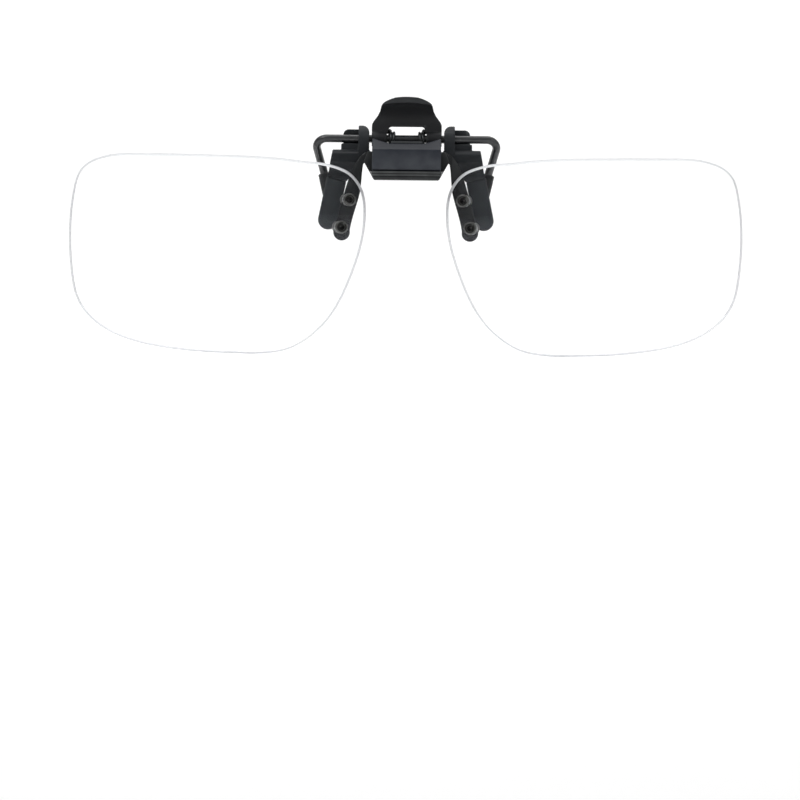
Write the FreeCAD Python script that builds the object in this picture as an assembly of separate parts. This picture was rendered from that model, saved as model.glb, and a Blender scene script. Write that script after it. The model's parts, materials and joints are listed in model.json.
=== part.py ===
"""Clip-on flip-up lenses: a sprung jaw that grips a pair of glasses, and two lenses that tip up before it.

Millimetres. +X is the viewer's right, +Y goes back towards the wearer and +Z is up.
The origin is the middle of the jaw: halfway between the two front pads, on the plane of their rear faces,
which grip the glasses.
"""

import FreeCAD
import Part

import math
import os

V = FreeCAD.Vector
X_AXIS = V(1, 0, 0)
Y_AXIS = V(0, 1, 0)
Z_AXIS = V(0, 0, 1)

# ---------------------------------------------------------------- driving dimensions
# Lenses
LENS_WIDTH = 60.0
LENS_HEIGHT = 40.0
LENS_GAP = 16.4                  # between the two lenses at the nose
LENS_TOP_Z = 9.6
LENS_FRONT_RADIUS = 110.0
LENS_BACK_RADIUS = 120.0
LENS_CENTRE_THICKNESS = 2.2
LENS_WRAP = 4.5                  # degrees that each lens turns back towards the temple

# Rivets that hold a lens on its arm
SEAT_X = 12.2                    # middle of a lens's two rivets, from the centre
SEAT_Y = -9.8                    # lens front surface there
SEAT_Z = -2.1
RIVET_SPACING = 5.7              # between a lens's two rivets
RIVET_LEAN = 16.0                # degrees that the row of rivets leans outwards
RIVET_SHANK_RADIUS = 0.55
RIVET_BORE_RADIUS = 0.32
RIVET_HEAD_RADIUS = 1.3
RIVET_HEAD_HEIGHT = 0.85
RIVET_RECESS_RADIUS = 0.64
RIVET_RECESS_DEPTH = 0.6
RIVET_TAIL_RADIUS = 1.05
RIVET_TAIL_HEIGHT = 0.45
RIVET_TAIL_TIP_RADIUS = 0.7
RIVET_HEAD_FILLET = 0.34
BUSHING_WALL = 0.25
BUSHING_FLANGE_RADIUS = 1.25
BUSHING_FLANGE_THICKNESS = 0.4
FRONT_WASHER_RADIUS = 1.15
FRONT_WASHER_THICKNESS = 0.25
BACK_WASHER_RADIUS = 1.3
BACK_WASHER_THICKNESS = 0.3

# Flip hinge and its housing
FLIP_Y = -8.7
FLIP_Z = 11.45
FLIP_PIN_RADIUS = 0.4
PIN_SUNK = 0.1                   # how far the pin's ends lie inside the housing's ends
HOUSING_HALF_WIDTH = 6.9
HOUSING_FRONT_Y = -12.5
HOUSING_TOP_FRONT_Z = 10.74      # where the front face meets the sloping top
HOUSING_BOTTOM_Z = 6.4
HOUSING_WALL = 1.0
HOUSING_ROOF = 0.55
HOUSING_KNUCKLE_RADIUS = 1.5
KNUCKLE_END_ANGLE = -40.0        # degrees round the flip axis where the housing's outer knuckles end
HOUSING_EDGE_FILLET = 0.35
CAVITY_RISE = 0.05               # of the cavity's roof over the flip axis
SCOOP_SINK = 0.1                 # of the scoop into the roof's thickness
SHADOW_GAP_HEIGHT = 0.25         # groove between the housing and the yoke's lip
SHADOW_GAP_DEPTH = 0.5
SCOOP_HALF_WIDTH = 3.4           # dip in the middle of the sloping top
SCOOP_TOP_HALF_WIDTH = 6.6
STAKE_RADIUS = 0.4
STAKE_HEAD_RADIUS = 0.65
STAKE_HEAD_HEIGHT = 0.3
STAKE_HEAD_FILLET = 0.24
STAKE_HEIGHTS = (7.3, 9.1)

# Yoke: tray, back plate and arms in one moulding
YOKE_PLATE_FRONT_Y = -8.4
YOKE_PLATE_THICKNESS = 1.5
YOKE_BOTTOM_Z = 4.65
YOKE_BOTTOM_HALF_WIDTH = 6.5
YOKE_SHOULDER_Z = 8.4
YOKE_SHOULDER_HALF_WIDTH = 8.6
YOKE_TOP_Z = 10.4
YOKE_TOP_HALF_WIDTH = 7.8
LIP_PROUD = 0.3                  # how far the tray's lip stands in front of the housing
LIP_LINE_DEPTH = 0.12
LIP_LINE_HEIGHT = 0.16
LIP_LINE_SHARES = (0.36, 0.68)   # of the way up the lip
ARM_THICKNESS = 1.6
ARM_END_RADIUS = 1.65
ARM_ROOT_GAP = 0.3               # between the housing's end and the arm's root
ARM_BEND_X = 8.6                 # where the arm bends, seen from above, to lie square to the rivets
ARM_FAR_X = 20.0                 # past the arm's outer edge
ARM_END_DROP = 3.75              # from the rivets' middle down to the centre of the arm's round end
ARM_END_OUT = 0.75               # and outwards
ARM_END_RISE = 0.35              # the arm's sides meet its round end this far above the end's centre
ARM_OUTER_EDGE = ((9.2, 9.5), (10.2, 8.1), (11.25, 5.9), (12.35, 2.6), (13.4, -1.2))   # X and Z, down
ARM_INNER_EDGE = ((10.2, -0.9), (9.2, 3.0), (8.9, 6.2))                                # and back up

# Detent leaf in the housing
LEAF_THICKNESS = 0.25
LEAF_HALF_WIDTH = 2.7
LEAF_TOP_Z = 11.45
LEAF_FOOT_DEPTH = 0.6
LEAF_FOOT_GAP = 0.1              # between the leaf's foot and the housing's front wall
LEAF_KNEE_RISE = 0.6             # the leaf starts to slope this far above the tray
CAM_FLAT = 1.0                   # from the flip axis to each of the knuckle's two flats

# Base: hinge neck, crossbar, ears, wings and front legs
NECK_HALF_WIDTH = 3.2
NECK_KNUCKLE_RADIUS = 1.2
NECK_LOW_ANGLE = -100.0          # degrees round the flip axis where the neck's underside leaves its knuckle
NECK_HIGH_ANGLE = 55.0           # and where its top does
NECK_ROOT_Z = 7.5                # where the neck's underside meets the crossbar
CROSSBAR_FRONT_Y = -5.0
CROSSBAR_BACK_Y = -2.9
CROSSBAR_TOP_Z = 9.5
CROSSBAR_BOTTOM_Z = 6.2
CROSSBAR_BOTTOM_HALF_WIDTH = 5.8
CROSSBAR_TOP_SLOPE = 1.3         # how far in the crossbar's top is reached from the ear
CROSSBAR_SHOULDER = 0.9          # how far out its underside meets the shoulder
EAR_INNER_X = 7.55
EAR_OUTER_X = 9.7
EAR_LOBE_RADIUS = 2.65
EAR_FOOT_DEPTH = 1.2
EAR_CORNER_RADIUS = 1.4          # on the ear's inner top corner, seen from the front
SADDLE_OUTER_X = 13.2            # block under the wire
SADDLE_FOOT_Z = 10.2             # sunk into the wing's top
SADDLE_PROUD = 0.5               # how far it stands in front of the wire
SADDLE_FILLET = 0.3
TONGUE_OUTER_X = 12.8            # plate behind the wire
TONGUE_THICKNESS = 1.3
TONGUE_TOP_Z = 14.96
TONGUE_CORNER_RADIUS = 1.1
WING_TOP_Z = 10.8
WING_TOP_X = 14.9
WING_SIDE_X = 15.7
WING_SIDE_Z = 6.5
WING_BEVEL = 0.8
WING_BACK_Y = -1.5
CORE_RISE = 0.4                  # how far the leg's core runs up into the wing

# Front pads: rubber boots over the base's legs
PAD_TOP_Z = 4.9
PAD_LENGTH = 10.4
PAD_WIDTH = 4.0
PAD_THICKNESS = 2.2
PAD_CENTRE_X = 14.15             # at the pad's top
PAD_LEAN = 11.5                  # degrees
PAD_WALL = 0.55
PAD_TOP_LEAN = 15.0              # degrees that the pad's top edge rises outwards
PAD_EDGE_FILLET = 0.45

# Jaw wire, rear sleeves and thumb lever
AXLE_Y = -2.5
AXLE_Z = 13.05
WIRE_RADIUS = 0.8
WIRE_CORNER_X = 18.65
WIRE_CORNER_RADIUS = 2.0
WIRE_KNEE_X = 16.95
WIRE_KNEE_Z = 6.9
WIRE_KNEE_RADIUS = 2.6
WIRE_END_X = 14.6
WIRE_END_Z = -2.7
SLEEVE_RADIUS = 1.3
SLEEVE_LENGTH = 9.3
SLEEVE_PAST_END = 0.3            # the sleeve runs this far past the wire's end
SLEEVE_END_FILLET = 0.25
JAW_GAP = 0.3                    # between pads and sleeves when nothing is held
LEVER_HALF_WIDTH = 7.05
LEVER_THICKNESS = 1.2
LEVER_BEND_Z = 15.9              # where the straight legs start to curve forwards
LEVER_BEND_RADIUS = 5.1
LEVER_BEND_ANGLE = 80.0          # degrees
LEVER_BARREL_RADIUS = 1.6
LEVER_BARREL_INNER_X = 4.0
LEVER_WINDOW_HALF_WIDTH = 3.65
LEVER_WINDOW_TOP_Z = 15.5
LEVER_WINDOW_FILLET = 0.6
LEVER_WAIST = ((6.6, 16.6), (5.75, 17.6), (5.15, 18.8))                # X and Z, up the lever's edge
LEVER_DOME = ((4.95, 19.9), (4.6, 20.6), (3.6, 21.15), (1.9, 21.5))    # and over its top
LEVER_TOP_Z = 21.6
CATCH_INNER_X = 3.05             # little hook on each leg's back for the spring's end
CATCH_OUTER_X = 5.1
CATCH_BACK_Y = -0.45
CATCH_BOTTOM_Z = 14.1
CATCH_TOP_Z = 14.9

# Double torsion spring
SPRING_WIRE_RADIUS = 0.25
SPRING_COIL_RADIUS = 1.3
SPRING_INNER_X = 2.3
SPRING_OUTER_X = 3.5
SPRING_EXTRA_TURNS = 2
SPRING_BRIDGE_Y = -5.6
SPRING_ARM_TOP_Z = 15.1
SPRING_BEND_RADIUS = 0.6

# Clearances
RUNNING_CLEARANCE = 0.05         # radial, a shaft that turns in its hole
SIDE_CLEARANCE = 0.2             # beside a part that turns
SWEEP_CLEARANCE = 0.2            # round a part that swings past
SLIP_CLEARANCE = 0.05            # something pushed into a pocket

CUT_MARGIN = 1.0                 # how far a cutting tool runs past the face it cuts
OVERLAP = 0.2                    # how far two solids of one moulding run into each other
TOUCHING = 0.01                  # how close an edge counts as lying on a plane
MID_ARC = 1 - math.sqrt(0.5)     # a quarter arc's middle lies this share of its radius in from its corner


# ---------------------------------------------------------------- helpers
def edges_of(points):
    """Edges through a list of points: a plain point is a line's end, ("arc", middle, end) an arc, and
    ("curve", [points]) a smooth curve that starts where the last edge ended."""
    edges = []
    here = points[0]
    for item in points[1:]:
        if isinstance(item, V):
            edges.append(Part.LineSegment(here, item).toShape())
            here = item
        elif item[0] == "arc":
            edges.append(Part.Arc(here, item[1], item[2]).toShape())
            here = item[2]
        else:
            curve = Part.BSplineCurve()
            curve.interpolate([here] + item[1])
            edges.append(curve.toShape())
            here = item[1][-1]
    return edges


def face_of(points):
    """A flat face with the given closed outline; the last point is joined to the first by a line."""
    last = points[-1]
    end = last if isinstance(last, V) else last[-1]
    end = end[-1] if isinstance(end, list) else end
    closed = points if end.distanceToPoint(points[0]) < TOUCHING else points + [points[0]]
    return Part.Face(Part.Wire(edges_of(closed)))


def prism_x(points, x_from, x_to):
    """A YZ outline extruded along X."""
    face = face_of(points)
    face.translate(V(x_from, 0, 0))
    return face.extrude(V(x_to - x_from, 0, 0))


def prism_y(points, y_from, y_to):
    """An XZ outline extruded along Y."""
    face = face_of(points)
    face.translate(V(0, y_from, 0))
    return face.extrude(V(0, y_to - y_from, 0))


def prism_z(points, z_from, z_to):
    """An XY outline extruded along Z."""
    face = face_of(points)
    face.translate(V(0, 0, z_from))
    return face.extrude(V(0, 0, z_to - z_from))


def box(x_from, x_to, y_from, y_to, z_from, z_to):
    return Part.makeBox(x_to - x_from, y_to - y_from, z_to - z_from, V(x_from, y_from, z_from))


def rod(radius, start, end):
    """A cylinder from one point to another."""
    along = end.sub(start)
    return Part.makeCylinder(radius, along.Length, start, along)


def rod_x(radius, y, z, x_from, x_to):
    return rod(radius, V(x_from, y, z), V(x_to, y, z))


def mirrored(shape):
    """The same shape on the other side of the YZ plane."""
    return shape.mirror(V(0, 0, 0), X_AXIS)


def both_sides(shape):
    return [shape, mirrored(shape)]


def joined(shapes):
    return shapes[0].multiFuse(shapes[1:]).removeSplitter()


def filleted(shape, radius, chosen):
    """The shape with the edges that chosen(edge) picks rounded."""
    return shape.makeFillet(radius, [edge for edge in shape.Edges if chosen(edge)])


def yz(y, z):
    return V(0, y, z)


def xz(x, z):
    return V(x, 0, z)


def xy(x, y):
    return V(x, y, 0)


def polar_yz(y, z, radius, degrees):
    """A point on a circle in the YZ plane; 0 degrees is straight back and 90 straight up."""
    angle = math.radians(degrees)
    return yz(y + radius * math.cos(angle), z + radius * math.sin(angle))


def tangent_angle(point, y, z, radius, side):
    """Where a line from a point touches a circle in the YZ plane, in degrees round that circle."""
    away = math.hypot(point.y - y, point.z - z)
    towards = math.degrees(math.atan2(point.z - z, point.y - y))
    angle = towards + side * math.degrees(math.acos(radius / away))
    return (angle + 180) % 360 - 180


def height_on_line(a, b, y):
    """The Z of the line through two YZ points at a given Y."""
    return a.z + (b.z - a.z) * (y - a.y) / (b.y - a.y)


def save(shape, name):
    """Write one sub-part."""
    solids = shape.Solids
    shape = solids[0] if len(solids) == 1 else Part.makeCompound(solids)
    shape.exportStep("parts/" + name + ".step")
    print(name, len(solids), round(shape.Volume, 2), shape.isValid())


def save_pair(shape, name):
    """Write a right-hand sub-part and its mirror image."""
    save(shape, name + "_right")
    save(mirrored(shape), name + "_left")


# ---------------------------------------------------------------- lens seat
# A lens's rivets stand square to its curved front, so the seat is turned to face that way.
LENS_CENTRE_X = LENS_GAP / 2 + LENS_WIDTH / 2
LENS_CENTRE_Z = LENS_TOP_Z - LENS_HEIGHT / 2
SEAT_FROM_CENTRE_X = SEAT_X - LENS_CENTRE_X
SEAT_FROM_CENTRE_Z = SEAT_Z - LENS_CENTRE_Z


def sag(radius, x, z):
    """How far a lens surface has fallen back at a point away from the lens's centre."""
    return radius - math.sqrt(radius**2 - x**2 - z**2)


SEAT_SAG = sag(LENS_FRONT_RADIUS, SEAT_FROM_CENTRE_X, SEAT_FROM_CENTRE_Z)
SEAT_BACK_SAG = sag(LENS_BACK_RADIUS, SEAT_FROM_CENTRE_X, SEAT_FROM_CENTRE_Z)
SEAT_LENS_THICKNESS = LENS_CENTRE_THICKNESS + SEAT_BACK_SAG - SEAT_SAG
LENS_TILT = math.degrees(math.atan2(SEAT_FROM_CENTRE_Z, LENS_FRONT_RADIUS - SEAT_SAG))
SEAT_ANGLE = math.degrees(math.asin(-SEAT_FROM_CENTRE_X / LENS_FRONT_RADIUS)) - LENS_WRAP
ARM_FACE = SEAT_LENS_THICKNESS + BUSHING_FLANGE_THICKNESS
ARM_BACK = ARM_FACE + ARM_THICKNESS


def seat_placed(shape):
    """A shape made round the seat's origin, moved to the right seat: X across the arm, Y into the lens."""
    placed = shape.copy()
    placed.rotate(V(0, 0, 0), Z_AXIS, -SEAT_ANGLE)
    placed.translate(V(SEAT_X, SEAT_Y, SEAT_Z))
    return placed


def seat_point(across, deep):
    """The XY point that lies across and deep from the right seat's middle, in the seat's own directions."""
    angle = math.radians(SEAT_ANGLE)
    return xy(SEAT_X + across * math.cos(angle) + deep * math.sin(angle),
              SEAT_Y - across * math.sin(angle) + deep * math.cos(angle))


def rivet_offsets():
    """The two rivets from the seat's middle: upper, then lower."""
    lean = math.radians(RIVET_LEAN)
    half = RIVET_SPACING / 2
    return {
        "upper": V(-half * math.sin(lean), 0, half * math.cos(lean)),
        "lower": V(half * math.sin(lean), 0, -half * math.cos(lean)),
    }


def at_rivet(shape, offset):
    moved = shape.copy()
    moved.translate(offset)
    return seat_placed(moved)


# ---------------------------------------------------------------- lenses
def lens_outline():
    """The lens's edge in its own XZ plane, X towards the temple, as shares of half its width and height."""
    shares = [
        (-0.560, 0.940), (-0.293, 0.980), (0.027, 0.995), (0.270, 1.000), (0.510, 1.000),
        (0.670, 0.992), (0.790, 0.955), (0.880, 0.890), (0.935, 0.800), (0.967, 0.660),
        (0.993, 0.400), (1.000, 0.130), (0.988, -0.200), (0.952, -0.460), (0.890, -0.615),
        (0.780, -0.755), (0.600, -0.875), (0.360, -0.950), (0.110, -0.988), (-0.130, -1.000),
        (-0.360, -0.995), (-0.490, -0.955), (-0.607, -0.862), (-0.738, -0.685), (-0.830, -0.480),
        (-0.905, -0.230), (-0.970, 0.065), (-1.000, 0.430), (-0.975, 0.650), (-0.933, 0.755),
        (-0.883, 0.825), (-0.813, 0.875), (-0.690, 0.920),
    ]
    points = [xz(x * LENS_WIDTH / 2, z * LENS_HEIGHT / 2) for x, z in shares]
    curve = Part.BSplineCurve()
    curve.interpolate(points, PeriodicFlag=True)
    return Part.Face(Part.Wire([curve.toShape()]))


def lens_blank():
    """The right lens before drilling, in the lens's own frame: its front vertex at the origin."""
    deep = sag(LENS_FRONT_RADIUS, LENS_WIDTH / 2, LENS_HEIGHT / 2) + LENS_CENTRE_THICKNESS
    edge = lens_outline()
    edge.translate(V(0, -CUT_MARGIN, 0))
    slab = edge.extrude(V(0, deep + 2 * CUT_MARGIN, 0))
    front = Part.makeSphere(LENS_FRONT_RADIUS, V(0, LENS_FRONT_RADIUS, 0), Y_AXIS)
    back = Part.makeSphere(LENS_BACK_RADIUS, V(0, LENS_CENTRE_THICKNESS + LENS_BACK_RADIUS, 0), Y_AXIS)
    return slab.common(front).cut(back)


def placed_lens():
    """The right lens in place: its front surface passes through the seat, square to the seat's axis."""
    lens = lens_blank()
    lens.translate(V(-SEAT_FROM_CENTRE_X, -SEAT_SAG, -SEAT_FROM_CENTRE_Z))
    lens.rotate(V(0, 0, 0), X_AXIS, LENS_TILT)
    lens.rotate(V(0, 0, 0), Z_AXIS, LENS_WRAP)
    lens.translate(V(SEAT_X, SEAT_Y, SEAT_Z))
    return lens


BUSHING_RADIUS = RIVET_SHANK_RADIUS + BUSHING_WALL


def lens_hole():
    return rod(BUSHING_RADIUS, V(0, -CUT_MARGIN, 0), V(0, ARM_FACE, 0))


# ---------------------------------------------------------------- rivets, bushings and washers
def rivet():
    """A hollow rivet: round head with a recess in front, shank, and a spread tail behind the arm."""
    under_head = -FRONT_WASHER_THICKNESS
    front = under_head - RIVET_HEAD_HEIGHT
    tail = ARM_BACK + BACK_WASHER_THICKNESS
    end = tail + RIVET_TAIL_HEIGHT
    head = rod(RIVET_HEAD_RADIUS, V(0, front, 0), V(0, under_head, 0))
    head = filleted(head, RIVET_HEAD_FILLET, lambda edge: edge.CenterOfMass.y < front + TOUCHING)
    spread = Part.makeCone(RIVET_TAIL_RADIUS, RIVET_TAIL_TIP_RADIUS, end - tail, V(0, tail, 0), Y_AXIS)
    body = joined([head, rod(RIVET_SHANK_RADIUS, V(0, under_head, 0), V(0, tail, 0)), spread])
    recess = rod(RIVET_RECESS_RADIUS, V(0, front - CUT_MARGIN, 0), V(0, front + RIVET_RECESS_DEPTH, 0))
    hollow = rod(RIVET_BORE_RADIUS, V(0, front - CUT_MARGIN, 0), V(0, end + CUT_MARGIN, 0))
    return body.cut(recess).cut(hollow)


def bushing(offset, lens):
    """A clear sleeve that lines the lens's hole, with a flange between the lens and the arm."""
    sleeve = rod(BUSHING_RADIUS, V(0, 0, 0), V(0, ARM_FACE, 0))
    flange_from = ARM_FACE - 2 * BUSHING_FLANGE_THICKNESS
    flange = rod(BUSHING_FLANGE_RADIUS, V(0, flange_from, 0), V(0, ARM_FACE, 0))
    bore = rod(RIVET_SHANK_RADIUS, V(0, -CUT_MARGIN, 0), V(0, ARM_FACE + CUT_MARGIN, 0))
    flange = at_rivet(flange, offset).cut(lens)
    sleeve = at_rivet(sleeve, offset)
    return joined([sleeve, flange]).cut(at_rivet(bore, offset))


def front_washer(offset, lens):
    """A thin clear washer under the rivet's head, bedded on the lens's curved front."""
    disc = rod(FRONT_WASHER_RADIUS, V(0, -FRONT_WASHER_THICKNESS, 0), V(0, FRONT_WASHER_THICKNESS, 0))
    bore = rod(BUSHING_RADIUS, V(0, 0, 0), V(0, CUT_MARGIN, 0))
    shank = rod(RIVET_SHANK_RADIUS, V(0, -CUT_MARGIN, 0), V(0, CUT_MARGIN, 0))
    washer = at_rivet(disc, offset).cut(lens).cut(at_rivet(bore, offset)).cut(at_rivet(shank, offset))
    return max(washer.Solids, key=lambda solid: solid.Volume)


def back_washer():
    """A metal washer behind the arm, under the rivet's spread tail."""
    disc = rod(BACK_WASHER_RADIUS, V(0, ARM_BACK, 0), V(0, ARM_BACK + BACK_WASHER_THICKNESS, 0))
    shank = rod(RIVET_SHANK_RADIUS, V(0, 0, 0), V(0, ARM_BACK + CUT_MARGIN, 0))
    return disc.cut(shank)


# ---------------------------------------------------------------- flip housing
BEVEL_FOOT = yz(HOUSING_FRONT_Y, HOUSING_TOP_FRONT_Z)
BEVEL_TOUCH = tangent_angle(BEVEL_FOOT, FLIP_Y, FLIP_Z, HOUSING_KNUCKLE_RADIUS, -1)
CAVITY_TOP_Z = FLIP_Z + CAVITY_RISE
SCOOP_Z = CAVITY_TOP_Z + HOUSING_ROOF - SCOOP_SINK


def housing():
    """The black box over the hinge: front, sloping top, ends and the hinge's two outer knuckles."""
    foot = yz(YOKE_PLATE_FRONT_Y, HOUSING_BOTTOM_Z)
    heel = yz(YOKE_PLATE_FRONT_Y, YOKE_TOP_Z)
    outline = [
        yz(HOUSING_FRONT_Y, HOUSING_BOTTOM_Z),
        BEVEL_FOOT,
        polar_yz(FLIP_Y, FLIP_Z, HOUSING_KNUCKLE_RADIUS, BEVEL_TOUCH),
        ("arc", polar_yz(FLIP_Y, FLIP_Z, HOUSING_KNUCKLE_RADIUS, BEVEL_TOUCH / 2),
         polar_yz(FLIP_Y, FLIP_Z, HOUSING_KNUCKLE_RADIUS, 0)),
        ("arc", polar_yz(FLIP_Y, FLIP_Z, HOUSING_KNUCKLE_RADIUS, KNUCKLE_END_ANGLE / 2),
         polar_yz(FLIP_Y, FLIP_Z, HOUSING_KNUCKLE_RADIUS, KNUCKLE_END_ANGLE)),
        heel,
        foot,
    ]
    body = prism_x(outline, -HOUSING_HALF_WIDTH, HOUSING_HALF_WIDTH)
    body = filleted(body, HOUSING_EDGE_FILLET, on_housing_front)
    inner = HOUSING_HALF_WIDTH - HOUSING_WALL
    cavity = [
        yz(HOUSING_FRONT_Y + HOUSING_WALL, HOUSING_BOTTOM_Z - CUT_MARGIN),
        yz(HOUSING_FRONT_Y + HOUSING_WALL, HOUSING_TOP_FRONT_Z - HOUSING_ROOF),
        yz(FLIP_Y - HOUSING_KNUCKLE_RADIUS, CAVITY_TOP_Z),
        yz(FLIP_Y - HOUSING_KNUCKLE_RADIUS, HOUSING_BOTTOM_Z - CUT_MARGIN),
    ]
    body = body.cut(prism_x(cavity, -inner, inner))
    lower = box(-inner, inner, HOUSING_FRONT_Y + 2 * HOUSING_WALL, CUT_MARGIN,
                HOUSING_BOTTOM_Z - CUT_MARGIN, FLIP_Z - HOUSING_KNUCKLE_RADIUS)
    body = body.cut(lower)
    slot = NECK_HALF_WIDTH + SIDE_CLEARANCE
    body = body.cut(rod_x(NECK_KNUCKLE_RADIUS + SWEEP_CLEARANCE, FLIP_Y, FLIP_Z, -slot, slot))
    scoop_top = FLIP_Z + HOUSING_KNUCKLE_RADIUS
    body = body.cut(box(-slot, slot, FLIP_Y, CUT_MARGIN, HOUSING_BOTTOM_Z, scoop_top + CUT_MARGIN))
    body = body.cut(box(-slot, slot, FLIP_Y - HOUSING_KNUCKLE_RADIUS, FLIP_Y, HOUSING_BOTTOM_Z, FLIP_Z))
    scoop = [
        xz(-SCOOP_HALF_WIDTH, SCOOP_Z),
        xz(SCOOP_HALF_WIDTH, SCOOP_Z),
        xz(SCOOP_TOP_HALF_WIDTH, scoop_top),
        xz(SCOOP_TOP_HALF_WIDTH, scoop_top + CUT_MARGIN),
        xz(-SCOOP_TOP_HALF_WIDTH, scoop_top + CUT_MARGIN),
        xz(-SCOOP_TOP_HALF_WIDTH, scoop_top),
    ]
    body = body.cut(prism_y(scoop, HOUSING_FRONT_Y - CUT_MARGIN, CUT_MARGIN))
    body = body.cut(rod_x(FLIP_PIN_RADIUS, FLIP_Y, FLIP_Z, -HOUSING_HALF_WIDTH - CUT_MARGIN,
                          HOUSING_HALF_WIDTH + CUT_MARGIN))
    gap = box(-HOUSING_HALF_WIDTH - CUT_MARGIN, HOUSING_HALF_WIDTH + CUT_MARGIN,
              HOUSING_FRONT_Y - CUT_MARGIN, HOUSING_FRONT_Y + SHADOW_GAP_DEPTH,
              HOUSING_BOTTOM_Z - CUT_MARGIN, HOUSING_BOTTOM_Z + SHADOW_GAP_HEIGHT)
    body = body.cut(gap)
    return joined([body] + stakes())


def on_housing_front(edge):
    """The long edge where the housing's front meets its sloping top."""
    middle = edge.CenterOfMass
    across = abs(middle.x) < TOUCHING and middle.y < FLIP_Y
    return across and abs(middle.z - HOUSING_TOP_FRONT_Z) < TOUCHING


YOKE_PLATE_BACK_Y = YOKE_PLATE_FRONT_Y + YOKE_PLATE_THICKNESS


def stakes():
    """The pegs that hold the housing to the yoke, with their ends spread behind it."""
    x = HOUSING_HALF_WIDTH - HOUSING_WALL / 2
    pegs = []
    for z in STAKE_HEIGHTS:
        top = YOKE_PLATE_BACK_Y + STAKE_HEAD_HEIGHT
        peg = rod(STAKE_RADIUS, V(x, YOKE_PLATE_FRONT_Y - OVERLAP, z), V(x, YOKE_PLATE_BACK_Y, z))
        head = rod(STAKE_HEAD_RADIUS, V(x, YOKE_PLATE_BACK_Y, z), V(x, top, z))
        head = filleted(head, STAKE_HEAD_FILLET, lambda edge: edge.CenterOfMass.y > top - TOUCHING)
        pegs += both_sides(joined([peg, head]))
    return pegs


def stake_holes():
    x = HOUSING_HALF_WIDTH - HOUSING_WALL / 2
    holes = []
    for z in STAKE_HEIGHTS:
        holes += both_sides(rod(STAKE_RADIUS, V(x, YOKE_PLATE_FRONT_Y - CUT_MARGIN, z), V(x, 0, z)))
    return holes


def flip_pin():
    half = HOUSING_HALF_WIDTH - PIN_SUNK
    return rod_x(FLIP_PIN_RADIUS, FLIP_Y, FLIP_Z, -half, half)


# ---------------------------------------------------------------- yoke
def yoke_plate():
    """The back plate behind the housing, with a notch for the base's hinge neck."""
    outline = [
        xz(-YOKE_BOTTOM_HALF_WIDTH, YOKE_BOTTOM_Z),
        xz(YOKE_BOTTOM_HALF_WIDTH, YOKE_BOTTOM_Z),
        xz(YOKE_SHOULDER_HALF_WIDTH, YOKE_SHOULDER_Z),
        xz(YOKE_TOP_HALF_WIDTH, YOKE_TOP_Z),
        xz(-YOKE_TOP_HALF_WIDTH, YOKE_TOP_Z),
        xz(-YOKE_SHOULDER_HALF_WIDTH, YOKE_SHOULDER_Z),
    ]
    plate = prism_y(outline, YOKE_PLATE_FRONT_Y, YOKE_PLATE_BACK_Y)
    notch = NECK_HALF_WIDTH + SIDE_CLEARANCE
    floor = neck_low_line(YOKE_PLATE_BACK_Y) - 2 * SWEEP_CLEARANCE
    return plate.cut(box(-notch, notch, YOKE_PLATE_FRONT_Y - CUT_MARGIN, 0, floor, YOKE_TOP_Z + CUT_MARGIN))


def yoke_tray():
    """The shelf under the housing, whose front edge shows as a lip with two fine lines."""
    front = HOUSING_FRONT_Y - LIP_PROUD
    slope = (YOKE_SHOULDER_HALF_WIDTH - YOKE_BOTTOM_HALF_WIDTH) / (YOKE_SHOULDER_Z - YOKE_BOTTOM_Z)
    top_half = YOKE_BOTTOM_HALF_WIDTH + slope * (HOUSING_BOTTOM_Z - YOKE_BOTTOM_Z)
    outline = [
        xz(-YOKE_BOTTOM_HALF_WIDTH, YOKE_BOTTOM_Z),
        xz(YOKE_BOTTOM_HALF_WIDTH, YOKE_BOTTOM_Z),
        xz(top_half, HOUSING_BOTTOM_Z),
        xz(-top_half, HOUSING_BOTTOM_Z),
    ]
    tray = prism_y(outline, front, YOKE_PLATE_BACK_Y)
    plan = [
        xy(-HOUSING_HALF_WIDTH, front),
        xy(HOUSING_HALF_WIDTH, front),
        xy(top_half, YOKE_PLATE_FRONT_Y),
        xy(top_half, YOKE_PLATE_BACK_Y),
        xy(-top_half, YOKE_PLATE_BACK_Y),
        xy(-top_half, YOKE_PLATE_FRONT_Y),
    ]
    tray = tray.common(prism_z(plan, YOKE_BOTTOM_Z - CUT_MARGIN, HOUSING_BOTTOM_Z + CUT_MARGIN))
    for share in LIP_LINE_SHARES:
        z = YOKE_BOTTOM_Z + share * (HOUSING_BOTTOM_Z - YOKE_BOTTOM_Z)
        tray = tray.cut(box(-2 * top_half, 2 * top_half, front - CUT_MARGIN, front + LIP_LINE_DEPTH,
                            z, z + LIP_LINE_HEIGHT))
    slot = LEAF_HALF_WIDTH + SLIP_CLEARANCE
    y = LEAF_FOOT_Y
    leaf_slot = box(-slot, slot, y - SLIP_CLEARANCE, y + LEAF_THICKNESS + SLIP_CLEARANCE,
                    HOUSING_BOTTOM_Z - LEAF_FOOT_DEPTH, HOUSING_BOTTOM_Z + CUT_MARGIN)
    return tray.cut(leaf_slot)


def arm_plan(root_x):
    """The right arm seen from above: from the back plate it slants back, then lies square to the rivets."""
    back = AXLE_Y - EAR_LOBE_RADIUS - 2 * SWEEP_CLEARANCE
    return [
        xy(root_x, YOKE_PLATE_FRONT_Y),
        seat_point(ARM_BEND_X - SEAT_X, ARM_FACE),
        seat_point(ARM_FAR_X - SEAT_X, ARM_FACE),
        seat_point(ARM_FAR_X - SEAT_X, ARM_BACK),
        seat_point(ARM_BEND_X - SEAT_X, ARM_BACK),
        xy(root_x, back),
    ]


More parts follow.
